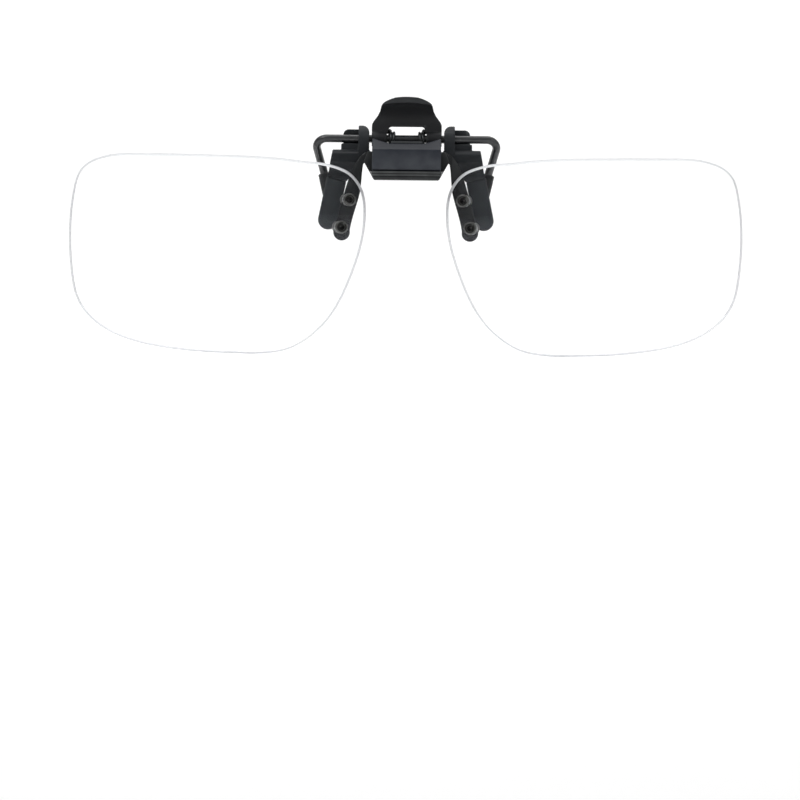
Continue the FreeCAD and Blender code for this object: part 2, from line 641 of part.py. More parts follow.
def arm():
    """The right arm: it leaves the plate's shoulder, turns down behind the lens and ends round."""
    end_x = SEAT_X + ARM_END_OUT
    end_z = SEAT_Z - ARM_END_DROP
    side = ARM_END_RADIUS * math.cos(math.asin(ARM_END_RISE / ARM_END_RADIUS))
    root_x = HOUSING_HALF_WIDTH + ARM_ROOT_GAP
    outline = [
        xz(root_x, YOKE_TOP_Z),
        xz(YOKE_TOP_HALF_WIDTH, YOKE_TOP_Z),
        ("curve", [xz(x, z) for x, z in ARM_OUTER_EDGE] + [xz(end_x + side, end_z + ARM_END_RISE)]),
        ("arc", xz(end_x, end_z - ARM_END_RADIUS), xz(end_x - side, end_z + ARM_END_RISE)),
        ("curve", [xz(x, z) for x, z in ARM_INNER_EDGE] + [xz(YOKE_SHOULDER_HALF_WIDTH, YOKE_SHOULDER_Z)]),
        xz(root_x, YOKE_SHOULDER_Z),
    ]
    low = end_z - 2 * ARM_END_RADIUS
    slab = prism_z(arm_plan(root_x), low, YOKE_TOP_Z + CUT_MARGIN)
    return slab.common(prism_y(outline, -ARM_FAR_X, ARM_FAR_X))


def yoke():
    """Back plate, tray and both arms in one piece."""
    parts = [yoke_plate(), yoke_tray()] + both_sides(arm())
    body = joined(parts)
    # room for the housing in front of the plate
    body = body.cut(box(-HOUSING_HALF_WIDTH, HOUSING_HALF_WIDTH, HOUSING_FRONT_Y - 2 * LIP_PROUD,
                        YOKE_PLATE_FRONT_Y, HOUSING_BOTTOM_Z, YOKE_TOP_Z + 2 * CUT_MARGIN))
    cutters = stake_holes()
    for offset in rivet_offsets().values():
        shank = rod(RIVET_SHANK_RADIUS, V(0, 0, 0), V(0, ARM_BACK + CUT_MARGIN, 0))
        cutters += both_sides(at_rivet(shank, offset))
    for cutter in cutters:
        body = body.cut(cutter)
    return body


# ---------------------------------------------------------------- detent leaf
LEAF_FOOT_Y = HOUSING_FRONT_Y + HOUSING_WALL + LEAF_FOOT_GAP
LEAF_HEAD_Y = FLIP_Y - CAM_FLAT - SLIP_CLEARANCE - LEAF_THICKNESS


def detent_leaf():
    """A flat steel spring: its foot stands in the tray and its head bears on the knuckle's flat."""
    foot_z = HOUSING_BOTTOM_Z - LEAF_FOOT_DEPTH
    knee_z = HOUSING_BOTTOM_Z + LEAF_KNEE_RISE
    head_z = FLIP_Z - 2 * CAM_FLAT
    outline = [
        yz(LEAF_FOOT_Y, foot_z),
        yz(LEAF_FOOT_Y, knee_z),
        yz(LEAF_HEAD_Y, head_z),
        yz(LEAF_HEAD_Y, LEAF_TOP_Z),
        yz(LEAF_HEAD_Y + LEAF_THICKNESS, LEAF_TOP_Z),
        yz(LEAF_HEAD_Y + LEAF_THICKNESS, head_z),
        yz(LEAF_FOOT_Y + LEAF_THICKNESS, knee_z),
        yz(LEAF_FOOT_Y + LEAF_THICKNESS, foot_z),
    ]
    return prism_x(outline, -LEAF_HALF_WIDTH, LEAF_HALF_WIDTH)


# ---------------------------------------------------------------- base
NECK_LOW_FRONT = polar_yz(FLIP_Y, FLIP_Z, NECK_KNUCKLE_RADIUS, NECK_LOW_ANGLE)
NECK_LOW_BACK = yz(CROSSBAR_FRONT_Y, NECK_ROOT_Z)
NECK_HIGH_FRONT = polar_yz(FLIP_Y, FLIP_Z, NECK_KNUCKLE_RADIUS, NECK_HIGH_ANGLE)
NECK_HIGH_BACK = yz(CROSSBAR_BACK_Y, CROSSBAR_TOP_Z)


def neck_low_line(y):
    return height_on_line(NECK_LOW_FRONT, NECK_LOW_BACK, y)


def neck_high_line(y):
    return height_on_line(NECK_HIGH_FRONT, NECK_HIGH_BACK, y)


def neck():
    """The tongue that reaches forwards from the crossbar and carries the flip hinge's middle knuckle."""
    outline = [
        NECK_LOW_FRONT,
        ("arc", polar_yz(FLIP_Y, FLIP_Z, NECK_KNUCKLE_RADIUS, 180), NECK_HIGH_FRONT),
        NECK_HIGH_BACK,
        yz(CROSSBAR_BACK_Y, NECK_LOW_BACK.z),
        NECK_LOW_BACK,
    ]
    body = prism_x(outline, -NECK_HALF_WIDTH, NECK_HALF_WIDTH)
    wide = 2 * NECK_HALF_WIDTH
    far = 2 * NECK_KNUCKLE_RADIUS
    front_flat = box(-wide, wide, FLIP_Y - far, FLIP_Y - CAM_FLAT, FLIP_Z - far, FLIP_Z + far)
    top_flat = box(-wide, wide, FLIP_Y - far, FLIP_Y + CAM_FLAT / 2, FLIP_Z + CAM_FLAT, FLIP_Z + far)
    bore = rod_x(FLIP_PIN_RADIUS + RUNNING_CLEARANCE, FLIP_Y, FLIP_Z, -wide, wide)
    return body.cut(front_flat).cut(top_flat).cut(bore)


def crossbar():
    """The bar behind the housing that joins the two sides."""
    outline = [
        xz(-CROSSBAR_BOTTOM_HALF_WIDTH, CROSSBAR_BOTTOM_Z),
        xz(CROSSBAR_BOTTOM_HALF_WIDTH, CROSSBAR_BOTTOM_Z),
        xz(EAR_INNER_X + CROSSBAR_SHOULDER, YOKE_SHOULDER_Z),
        xz(EAR_OUTER_X, YOKE_SHOULDER_Z),
        xz(EAR_OUTER_X, WING_TOP_Z),
        xz(EAR_INNER_X, WING_TOP_Z),
        xz(EAR_INNER_X - CROSSBAR_TOP_SLOPE, CROSSBAR_TOP_Z),
        xz(CROSSBAR_TOP_SLOPE - EAR_INNER_X, CROSSBAR_TOP_Z),
        xz(-EAR_INNER_X, WING_TOP_Z),
        xz(-EAR_OUTER_X, WING_TOP_Z),
        xz(-EAR_OUTER_X, YOKE_SHOULDER_Z),
        xz(-EAR_INNER_X - CROSSBAR_SHOULDER, YOKE_SHOULDER_Z),
    ]
    return prism_y(outline, CROSSBAR_FRONT_Y, CROSSBAR_BACK_Y)


def ear():
    """The right lug that the jaw's axle turns in."""
    lobe_front = AXLE_Y - EAR_LOBE_RADIUS
    outline = [
        yz(CROSSBAR_FRONT_Y, YOKE_SHOULDER_Z),
        yz(lobe_front, WING_TOP_Z),
        yz(lobe_front, AXLE_Z),
        ("arc", yz(AXLE_Y, AXLE_Z + EAR_LOBE_RADIUS), yz(AXLE_Y + EAR_LOBE_RADIUS, AXLE_Z)),
        yz(CROSSBAR_BACK_Y + EAR_FOOT_DEPTH, SADDLE_FOOT_Z),
        yz(CROSSBAR_BACK_Y, YOKE_SHOULDER_Z),
    ]
    lug = prism_x(outline, EAR_INNER_X, EAR_OUTER_X)
    top = AXLE_Z + EAR_LOBE_RADIUS
    share = EAR_CORNER_RADIUS * MID_ARC
    front = [
        xz(EAR_INNER_X, 0),
        xz(EAR_INNER_X, top - EAR_CORNER_RADIUS),
        ("arc", xz(EAR_INNER_X + share, top - share), xz(EAR_INNER_X + EAR_CORNER_RADIUS, top)),
        xz(EAR_OUTER_X, top),
        xz(EAR_OUTER_X, 0),
    ]
    return lug.common(prism_y(front, lobe_front, AXLE_Y + EAR_LOBE_RADIUS))


def saddle():
    """The block under the wire and the tongue behind it, beside the ear."""
    tongue_front = AXLE_Y + WIRE_RADIUS + SIDE_CLEARANCE
    tongue_back = tongue_front + TONGUE_THICKNESS
    block_top = AXLE_Z - WIRE_RADIUS - SIDE_CLEARANCE
    ear_side = (EAR_INNER_X + EAR_OUTER_X) / 2
    share = TONGUE_CORNER_RADIUS * MID_ARC
    tongue = [
        xz(ear_side, SADDLE_FOOT_Z),
        xz(TONGUE_OUTER_X, SADDLE_FOOT_Z),
        xz(TONGUE_OUTER_X, TONGUE_TOP_Z - TONGUE_CORNER_RADIUS),
        ("arc", xz(TONGUE_OUTER_X - share, TONGUE_TOP_Z - share),
         xz(TONGUE_OUTER_X - TONGUE_CORNER_RADIUS, TONGUE_TOP_Z)),
        xz(ear_side, TONGUE_TOP_Z),
    ]
    tongue = prism_y(tongue, tongue_front, tongue_back)
    block_front = AXLE_Y - WIRE_RADIUS - SADDLE_PROUD
    block = box(ear_side, SADDLE_OUTER_X, block_front, tongue_back, SADDLE_FOOT_Z, block_top)
    block = filleted(block, SADDLE_FILLET, lambda edge: edge.CenterOfMass.x > SADDLE_OUTER_X - TOUCHING)
    return [tongue, block]


def along_pad(down, across):
    """An XZ point on the leaning pad: down from its top's middle, and across, outwards."""
    lean = math.radians(PAD_LEAN)
    return xz(PAD_CENTRE_X + down * math.sin(lean) + across * math.cos(lean),
              PAD_TOP_Z - down * math.cos(lean) + across * math.sin(lean))


def pad_top(above, across):
    """A point on the pad's sloping top edge, or above it."""
    rise = across * math.tan(math.radians(PAD_TOP_LEAN - PAD_LEAN))
    return along_pad(-above - rise, across)


def pad_outline(inset, above):
    """The pad's XZ outline, drawn in by inset, up to a height above its top edge."""
    half = PAD_WIDTH / 2 - inset
    straight = PAD_LENGTH - PAD_WIDTH / 2
    return [
        pad_top(above, -half),
        pad_top(above, half),
        along_pad(straight, half),
        ("arc", along_pad(straight + half, 0), along_pad(straight, -half)),
    ]


def pad_core_y():
    return -PAD_THICKNESS + PAD_WALL, -PAD_WALL


def leg():
    """The right wing and the leg below it, which the rubber pad is pushed onto."""
    core_front, core_back = pad_core_y()
    front = [
        xz(EAR_INNER_X, YOKE_SHOULDER_Z),
        xz(EAR_INNER_X, WING_TOP_Z),
        xz(WING_TOP_X, WING_TOP_Z),
        xz(WING_SIDE_X, WING_SIDE_Z),
        pad_top(0, PAD_WIDTH / 2),
        pad_top(0, -PAD_WIDTH / 2),
        xz(EAR_INNER_X + CROSSBAR_SHOULDER, YOKE_SHOULDER_Z),
    ]
    low = PAD_TOP_Z - PAD_WIDTH / 2
    side = [
        yz(CROSSBAR_FRONT_Y + WING_BEVEL, WING_TOP_Z),
        yz(CROSSBAR_FRONT_Y, WING_TOP_Z - WING_BEVEL),
        yz(CROSSBAR_FRONT_Y, YOKE_SHOULDER_Z),
        yz(-PAD_THICKNESS, PAD_TOP_Z + WING_BEVEL),
        yz(-PAD_THICKNESS, low),
        yz(0, low),
        yz(0, PAD_TOP_Z + CORE_RISE),
        yz(WING_BACK_Y, YOKE_SHOULDER_Z),
        yz(WING_BACK_Y, WING_TOP_Z),
    ]
    wing = prism_y(front, CROSSBAR_FRONT_Y, 0).common(prism_x(side, 0, WING_SIDE_X + CUT_MARGIN))
    core = prism_y(pad_outline(PAD_WALL, CORE_RISE), core_front, core_back)
    return [wing, core]


def base():
    """The fixed frame: neck, crossbar, ears, saddles, wings and legs in one moulding."""
    sides = []
    for piece in [ear()] + saddle() + leg():
        sides += both_sides(piece)
    body = joined([crossbar(), neck()] + sides)
    bore = WIRE_RADIUS + RUNNING_CLEARANCE
    ear_bore = rod_x(bore, AXLE_Y, AXLE_Z, EAR_INNER_X - CUT_MARGIN, SADDLE_OUTER_X + CUT_MARGIN)
    for cutter in both_sides(ear_bore):
        body = body.cut(cutter)
    return body


# ---------------------------------------------------------------- front pads
def front_pad():
    """A rubber boot over the right leg."""
    boot = prism_y(pad_outline(0, 0), -PAD_THICKNESS, 0)
    boot = filleted(boot, PAD_EDGE_FILLET, on_pad_face)
    core_front, core_back = pad_core_y()
    pocket = prism_y(pad_outline(PAD_WALL, CUT_MARGIN), core_front, core_back)
    return boot.cut(pocket)


def on_pad_face(edge):
    """The edges round the pad's front face."""
    return edge.CenterOfMass.y < -PAD_THICKNESS + TOUCHING


# ---------------------------------------------------------------- jaw wire and sleeves
SLEEVE_Y = JAW_GAP + SLEEVE_RADIUS


def bent_path(points, radii):
    """A path of straight runs joined by tangent arcs, one radius for each inner point."""
    edges = []
    here = points[0]
    for before, corner, after, radius in zip(points, points[1:], points[2:], radii):
        back = before.sub(corner).normalize()
        on = after.sub(corner).normalize()
        half = back.getAngle(on) / 2
        reach = radius / math.tan(half)
        start = corner.add(V(back).multiply(reach))
        end = corner.add(V(on).multiply(reach))
        inward = back.add(on).normalize()
        middle = corner.add(inward.multiply(radius / math.sin(half) - radius))
        edges.append(Part.LineSegment(here, start).toShape())
        edges.append(Part.Arc(start, middle, end).toShape())
        here = end
    edges.append(Part.LineSegment(here, points[-1]).toShape())
    return Part.Wire(edges)


def swept(radius, path):
    """A round bar along a path."""
    first = path.OrderedEdges[0]
    start = first.valueAt(first.FirstParameter)
    heading = first.tangentAt(first.FirstParameter)
    ring = Part.Wire([Part.Circle(start, heading, radius).toShape()])
    return path.makePipeShell([ring], True, True)


WIRE_CORNER = V(WIRE_CORNER_X, AXLE_Y, AXLE_Z)
WIRE_KNEE = V(WIRE_KNEE_X, SLEEVE_Y, WIRE_KNEE_Z)
WIRE_END = V(WIRE_END_X, SLEEVE_Y, WIRE_END_Z)


def jaw_wire():
    """One bent wire: the axle across the top and a leg down each side."""
    points = [WIRE_END, WIRE_KNEE, WIRE_CORNER, V(0, AXLE_Y, AXLE_Z)]
    half = swept(WIRE_RADIUS, bent_path(points, [WIRE_KNEE_RADIUS, WIRE_CORNER_RADIUS]))
    return joined(both_sides(half))


def rear_sleeve():
    """A rubber tube over the right leg's lower end."""
    up = WIRE_KNEE.sub(WIRE_END).normalize()
    bottom = WIRE_END.add(V(up).multiply(-SLEEVE_PAST_END))
    top = bottom.add(V(up).multiply(SLEEVE_LENGTH))
    tube = rod(SLEEVE_RADIUS, bottom, top)
    tube = filleted(tube, SLEEVE_END_FILLET, lambda edge: isinstance(edge.Curve, Part.Circle))
    return tube.cut(rod(WIRE_RADIUS, bottom.add(V(up).multiply(-1)), top.add(up)))


# ---------------------------------------------------------------- thumb lever
def lever_plate():
    """The curved plate, seen from the side: straight legs, then a bend forwards."""
    half = LEVER_THICKNESS / 2
    centre_y = AXLE_Y - LEVER_BEND_RADIUS
    outer = LEVER_BEND_RADIUS + half
    inner = LEVER_BEND_RADIUS - half
    side = [
        yz(AXLE_Y + half, AXLE_Z),
        yz(AXLE_Y + half, LEVER_BEND_Z),
        ("arc", polar_yz(centre_y, LEVER_BEND_Z, outer, LEVER_BEND_ANGLE / 2),
         polar_yz(centre_y, LEVER_BEND_Z, outer, LEVER_BEND_ANGLE)),
        polar_yz(centre_y, LEVER_BEND_Z, inner, LEVER_BEND_ANGLE),
        ("arc", polar_yz(centre_y, LEVER_BEND_Z, inner, LEVER_BEND_ANGLE / 2),
         yz(AXLE_Y - half, LEVER_BEND_Z)),
        yz(AXLE_Y - half, AXLE_Z),
    ]
    return prism_x(side, -LEVER_HALF_WIDTH, LEVER_HALF_WIDTH)


def lever_outline():
    """The lever seen from the front: wide base, waist and dome, with the window cut out."""
    right = [
        xz(LEVER_HALF_WIDTH, AXLE_Z - CUT_MARGIN),
        xz(LEVER_HALF_WIDTH, LEVER_BEND_Z),
        ("curve", [xz(x, z) for x, z in LEVER_WAIST + LEVER_DOME] + [xz(0, LEVER_TOP_Z)]),
    ]
    half = right + [xz(0, AXLE_Z - CUT_MARGIN)]
    front = AXLE_Y - 2 * LEVER_BEND_RADIUS
    back = AXLE_Y + LEVER_BEND_RADIUS
    body = joined(both_sides(prism_y(half, front, back)))
    window = box(-LEVER_WINDOW_HALF_WIDTH, LEVER_WINDOW_HALF_WIDTH, front, back,
                 AXLE_Z - 2 * CUT_MARGIN, LEVER_WINDOW_TOP_Z)
    window = filleted(window, LEVER_WINDOW_FILLET, on_window_corner)
    return body.cut(window)


def on_window_corner(edge):
    """The window's two upper corners."""
    middle = edge.CenterOfMass
    high = middle.z > LEVER_WINDOW_TOP_Z - TOUCHING
    return high and abs(middle.x) > LEVER_WINDOW_HALF_WIDTH - TOUCHING


def thumb_lever():
    """The lever that opens the jaw; its two barrels are fast on the wire."""
    plate = lever_plate().common(lever_outline())
    barrels = both_sides(rod_x(LEVER_BARREL_RADIUS, AXLE_Y, AXLE_Z, LEVER_BARREL_INNER_X, LEVER_HALF_WIDTH))
    back = AXLE_Y + LEVER_THICKNESS / 2
    catch = box(CATCH_INNER_X, CATCH_OUTER_X, back - OVERLAP, CATCH_BACK_Y, CATCH_BOTTOM_Z, CATCH_TOP_Z)
    grip = SPRING_WIRE_RADIUS + SLIP_CLEARANCE
    arm_y = AXLE_Y + SPRING_COIL_RADIUS
    notch = box(0, SPRING_OUTER_X + grip, arm_y - grip, arm_y + grip, AXLE_Z, CATCH_TOP_Z + CUT_MARGIN)
    room = SPRING_COIL_RADIUS + SPRING_WIRE_RADIUS + SIDE_CLEARANCE
    coil_room = rod_x(room, AXLE_Y, AXLE_Z, -LEVER_BARREL_INNER_X, LEVER_BARREL_INNER_X)
    body = joined([plate] + both_sides(catch.cut(notch))).cut(coil_room)
    body = joined([body] + barrels)
    return body.cut(rod_x(WIRE_RADIUS, AXLE_Y, AXLE_Z, -2 * LEVER_HALF_WIDTH, 2 * LEVER_HALF_WIDTH))


# ---------------------------------------------------------------- torsion spring
def torsion_spring():
    """A double spring: a coil each side, a bridge across the neck, and an arm up behind each lever leg."""
    bridge_z = neck_high_line(SPRING_BRIDGE_Y) + SPRING_WIRE_RADIUS + SLIP_CLEARANCE
    bridge = yz(SPRING_BRIDGE_Y, bridge_z)
    exit_angle = tangent_angle(bridge, AXLE_Y, AXLE_Z, SPRING_COIL_RADIUS, 1)
    turned = 360 * SPRING_EXTRA_TURNS - exit_angle
    length = SPRING_OUTER_X - SPRING_INNER_X
    helix = Part.makeHelix(length * 360 / turned, length, SPRING_COIL_RADIUS)
    # the helix climbs +Z from +X; it is laid along the axle, starting at the back
    helix.rotate(V(0, 0, 0), Y_AXIS, -90)
    helix.rotate(V(0, 0, 0), X_AXIS, -90)
    helix.translate(V(SPRING_OUTER_X, AXLE_Y, AXLE_Z))
    coil = swept(SPRING_WIRE_RADIUS, Part.Wire(helix.Edges))
    arm_y = AXLE_Y + SPRING_COIL_RADIUS
    arm_foot = V(SPRING_OUTER_X, arm_y, AXLE_Z)
    up_arm = rod(SPRING_WIRE_RADIUS, arm_foot, V(SPRING_OUTER_X, arm_y, SPRING_ARM_TOP_Z))
    leave = polar_yz(AXLE_Y, AXLE_Z, SPRING_COIL_RADIUS, exit_angle)
    start = V(SPRING_INNER_X, leave.y, leave.z)
    corner = V(SPRING_INNER_X, bridge.y, bridge.z)
    path = bent_path([start, corner, bridge], [SPRING_BEND_RADIUS])
    half = joined([coil, up_arm, swept(SPRING_WIRE_RADIUS, path)])
    return joined(both_sides(half))


# ---------------------------------------------------------------- write everything
def main():
    os.makedirs("parts", exist_ok=True)
    lens = placed_lens()
    drilled = lens
    for name, offset in rivet_offsets().items():
        drilled = drilled.cut(at_rivet(lens_hole(), offset))
        save_pair(at_rivet(rivet(), offset), "lens_rivet_" + name)
        save_pair(bushing(offset, lens), "lens_bushing_" + name)
        save_pair(front_washer(offset, lens), "front_washer_" + name)
        save_pair(at_rivet(back_washer(), offset), "back_washer_" + name)
    save_pair(drilled, "lens")
    save(yoke(), "lens_yoke")
    save(housing(), "flip_housing")
    save(flip_pin(), "flip_pin")
    save(detent_leaf(), "detent_spring")
    save(base(), "clip_base")
    save_pair(front_pad(), "front_pad")
    save(jaw_wire(), "jaw_wire")
    save_pair(rear_sleeve(), "rear_sleeve")
    save(thumb_lever(), "thumb_lever")
    save(torsion_spring(), "torsion_spring")


main()
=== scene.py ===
"""Clip-on flip-up lenses: finishes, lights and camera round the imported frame. Everything is in metres."""

import json
import math

import bmesh
import bpy
import numpy as np
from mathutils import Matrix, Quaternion, Vector
from mathutils.kdtree import KDTree


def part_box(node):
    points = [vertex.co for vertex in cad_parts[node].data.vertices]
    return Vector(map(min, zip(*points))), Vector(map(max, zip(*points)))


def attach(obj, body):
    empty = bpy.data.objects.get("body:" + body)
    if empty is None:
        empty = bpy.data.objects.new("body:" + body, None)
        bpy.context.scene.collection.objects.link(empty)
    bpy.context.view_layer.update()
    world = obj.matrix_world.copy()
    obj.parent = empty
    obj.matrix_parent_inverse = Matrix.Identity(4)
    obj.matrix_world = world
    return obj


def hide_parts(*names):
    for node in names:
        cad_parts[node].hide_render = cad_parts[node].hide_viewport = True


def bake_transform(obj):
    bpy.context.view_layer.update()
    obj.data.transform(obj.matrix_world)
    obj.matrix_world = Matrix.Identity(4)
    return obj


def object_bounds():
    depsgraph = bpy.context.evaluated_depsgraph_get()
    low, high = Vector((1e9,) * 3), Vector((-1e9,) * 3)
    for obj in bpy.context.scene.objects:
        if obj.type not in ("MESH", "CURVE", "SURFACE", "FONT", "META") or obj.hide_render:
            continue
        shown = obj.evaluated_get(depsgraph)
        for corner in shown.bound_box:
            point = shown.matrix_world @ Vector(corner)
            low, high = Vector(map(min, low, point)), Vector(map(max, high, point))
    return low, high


MM = 0.001
SIDES = ("left", "right")
ROWS = ("upper", "lower")

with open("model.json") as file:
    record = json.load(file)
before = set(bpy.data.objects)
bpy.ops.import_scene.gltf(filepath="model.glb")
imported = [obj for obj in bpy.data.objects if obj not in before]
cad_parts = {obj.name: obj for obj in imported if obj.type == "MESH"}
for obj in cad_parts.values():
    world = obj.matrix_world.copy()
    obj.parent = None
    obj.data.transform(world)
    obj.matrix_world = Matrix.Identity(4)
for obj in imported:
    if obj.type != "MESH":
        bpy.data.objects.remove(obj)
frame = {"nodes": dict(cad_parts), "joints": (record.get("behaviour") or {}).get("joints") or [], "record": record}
cad_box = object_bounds()


# ---------------------------------------------------------------- node helpers
class Finish:
    """A material and short ways to add nodes to it."""

    def __init__(self, name):
        self.material = bpy.data.materials.new(name)
        self.material.use_nodes = True
        self.tree = self.material.node_tree
        self.shader = self.tree.nodes["Principled BSDF"]
        self.place = self.node("ShaderNodeTexCoord").outputs["Object"]

    def node(self, kind, settings=(), **inputs):
        """A new node; inputs are numbers, or sockets to link from. Underscores in names stand for spaces."""
        made = self.tree.nodes.new(kind)
        for key, value in dict(settings).items():
            setattr(made, key, value)
        for key, value in inputs.items():
            self.put(made.inputs[key.replace("_", " ")], value)
        return made

    def put(self, socket, value):
        if isinstance(value, bpy.types.NodeSocket):
            self.tree.links.new(value, socket)
        else:
            socket.default_value = value

    def constants(self, **values):
        """Numbers and colours that are the same all over, set on the shader's own sockets."""
        for key, value in values.items():
            self.shader.inputs[key.replace("_", " ")].default_value = value

    def noise(self, size, detail=2.0, stretch=(1, 1, 1)):
        """Noise with features of about that size, in metres."""
        mapped = self.node("ShaderNodeMapping", Vector=self.place, Scale=stretch)
        return self.node("ShaderNodeTexNoise", Vector=mapped.outputs[0], Scale=1 / size,
                         Detail=detail).outputs["Fac"]

    def ramp(self, value, low, high, colours):
        """Colours spread between two values of a socket."""
        made = self.node("ShaderNodeValToRGB", Fac=value)
        elements = made.color_ramp.elements
        elements[0].position = low
        elements[1].position = high
        elements[0].color = (*colours[0], 1)
        elements[1].color = (*colours[1], 1)
        return made.outputs["Color"]

    def spread(self, value, low, high, to_low, to_high):
        return self.node("ShaderNodeMapRange", Value=value, From_Min=low, From_Max=high,
                         To_Min=to_low, To_Max=to_high).outputs["Result"]

    def blended(self, share, a, b):
        made = self.node("ShaderNodeMix", {"data_type": "RGBA"})
        self.put(made.inputs[0], share)
        self.put(made.inputs[6], a)
        self.put(made.inputs[7], b)
        return made.outputs[2]

    def raised(self, height, depth, under=None):
        """A bump of that depth, in metres, laid over another one."""
        made = self.node("ShaderNodeBump", Height=height, Distance=depth)
        if under is not None:
            self.put(made.inputs["Normal"], under)
        return made.outputs["Normal"]

    def set(self, **sockets):
        for key, value in sockets.items():
            self.put(self.shader.inputs[key.replace("_", " ")], value)


# ---------------------------------------------------------------- finishes
NOISE = (0.3, 0.7)                # noise lies mostly between these values
WEAR_AND_HIGHLIGHT_EDGE = (0.515, 0.60)         # pointiness where an edge starts to pale, from wear and a painted highlight, and where it is palest
WEAR_AND_HIGHLIGHT_SHARE = 0.8
PLASTIC_GLOSS = 0.2
FLOOR_GLOW = 0.25                 # keeps the far floor and the wall as white as the floor in the light


def moulded(name, dark, light, rough, grain, depth, wear_and_highlight):
    """Black moulded plastic: faintly clouded, finely textured, and paler along its edges, from wear and a painted
    highlight.
    """
    f = Finish(name)
    cloud = f.noise(5 * MM, 2)
    fine = f.noise(grain, 3)
    body = f.ramp(cloud, 0.30, 0.75, (dark, light))
    # wear and painted highlight: sharp convex edges are blended towards the paler edge colour
    edge = f.spread(f.node("ShaderNodeNewGeometry").outputs["Pointiness"], *WEAR_AND_HIGHLIGHT_EDGE, 0, WEAR_AND_HIGHLIGHT_SHARE)
    edge_wear_and_highlight_mask = f.node("ShaderNodeMath", {"operation": "MULTIPLY"})
    f.put(edge_wear_and_highlight_mask.inputs[0], edge)
    f.put(edge_wear_and_highlight_mask.inputs[1], f.spread(f.noise(2.5 * MM, 3), 0.35, 0.65, 0.6, 1))
    f.set(Base_Color=f.blended(edge_wear_and_highlight_mask.outputs[0], body, (*wear_and_highlight, 1)))
    f.set(Roughness=f.spread(cloud, *NOISE, rough - 0.015, rough + 0.02))
    f.set(Normal=f.raised(fine, depth))
    f.constants(Specular_IOR_Level=PLASTIC_GLOSS)
    return f.material


def rubber(name, dark, light, rough):
    """Matte rubber: a soft fine grain with dust-pale patches."""
    f = Finish(name)
    cloud = f.noise(1.8 * MM, 5)
    f.set(Base_Color=f.ramp(cloud, *NOISE, (dark, light)))
    f.set(Roughness=f.spread(f.noise(0.5 * MM, 3), *NOISE, rough - 0.05, rough + 0.05))
    f.set(Normal=f.raised(f.noise(0.11 * MM, 3), 0.006 * MM, f.raised(cloud, 0.02 * MM)))
    f.constants(Sheen_Weight=0.06, Sheen_Roughness=0.5, Specular_IOR_Level=0.3)
    return f.material


def coated_wire():
    """Black lacquer on steel wire, with faint lengthwise drawing marks."""
    f = Finish("coated_wire")
    marks = f.noise(0.25 * MM, 4, (0.15, 1, 1))
    f.set(Base_Color=f.ramp(marks, 0.35, 0.7, ((0.012, 0.013, 0.015), (0.022, 0.024, 0.026))))
    f.set(Roughness=f.spread(marks, *NOISE, 0.26, 0.42))
    f.set(Normal=f.raised(marks, 0.005 * MM))
    f.constants(Coat_Weight=0.35, Coat_Roughness=0.2)
    return f.material


def metal(name, dark, light, rough, size, stretch):
    """Bare or plated metal with fine tool marks."""
    f = Finish(name)
    marks = f.noise(size, 4, stretch)
    f.set(Base_Color=f.ramp(marks, *NOISE, (dark, light)))
    f.set(Roughness=f.spread(marks, *NOISE, rough - 0.08, rough + 0.10))
    f.set(Normal=f.raised(marks, 0.004 * MM))
    f.constants(Metallic=1.0)
    return f.material


def lets_light_past(f, shader, clear):
    """Lamps shine through the shader, so that clear plastic throws a pale shadow."""
    lamp = f.node("ShaderNodeLightPath").outputs["Is Shadow Ray"]
    open_shader = f.node("ShaderNodeBsdfTransparent", Color=(*clear, 1))
    mixed = f.node("ShaderNodeMixShader", Fac=lamp)
    f.put(mixed.inputs[1], shader)
    f.put(mixed.inputs[2], open_shader.outputs[0])
    f.put(f.tree.nodes["Material Output"].inputs["Surface"], mixed.outputs[0])


COATED_IOR = 1.24                 # an anti-reflection film makes plastic of 1.5 mirror as little as this


def lens_glass():
    """Clear lens with the faintest violet sheen and smears."""
    f = Finish("lens_glass")
    smear = f.noise(7 * MM, 3)
    f.set(Roughness=f.spread(smear, 0.35, 0.75, 0.0, 0.008))
    f.constants(Base_Color=(1, 1, 1, 1), IOR=COATED_IOR, Transmission_Weight=1.0,
                Specular_Tint=(0.90, 0.88, 1.0, 1))
    lets_light_past(f, f.shader.outputs[0], (0.97, 0.97, 0.98))
    return f.material


def lens_edge():
    """The lens's ground edge: pale and slightly milky, with fine grinding marks round it."""
    f = Finish("lens_edge")
    marks = f.noise(0.3 * MM, 3, (1, 6, 1))
    f.set(Base_Color=f.ramp(marks, *NOISE, ((0.64, 0.65, 0.67), (0.76, 0.77, 0.79))))
    f.set(Roughness=f.spread(marks, *NOISE, 0.22, 0.38))
    f.set(Normal=f.raised(marks, 0.004 * MM))
    f.constants(IOR=1.5, Transmission_Weight=0.15)
    return f.material


def clear_nylon(name):
    """Bushings and washers: clear, slightly clouded plastic."""
    f = Finish(name)
    cloud = f.noise(0.4 * MM, 2)
    f.set(Base_Color=f.ramp(cloud, *NOISE, ((0.86, 0.88, 0.88), (0.95, 0.96, 0.96))))
    f.set(Roughness=f.spread(cloud, *NOISE, 0.10, 0.22))
    f.constants(IOR=1.5, Transmission_Weight=0.8)
    lets_light_past(f, f.shader.outputs[0], (0.85, 0.86, 0.86))
    return f.material


def floor_paint():
    """Near-white paint that glows faintly."""
    f = Finish("floor_paint")
    cloud = f.noise(60 * MM, 3)
    f.set(Base_Color=f.ramp(cloud, *NOISE, ((0.905, 0.905, 0.905), (0.925, 0.925, 0.925))))
    f.set(Roughness=f.spread(cloud, *NOISE, 0.85, 0.95))
    f.constants(Specular_IOR_Level=0.1, Emission_Color=(1, 1, 1, 1), Emission_Strength=FLOOR_GLOW)
    return f.material
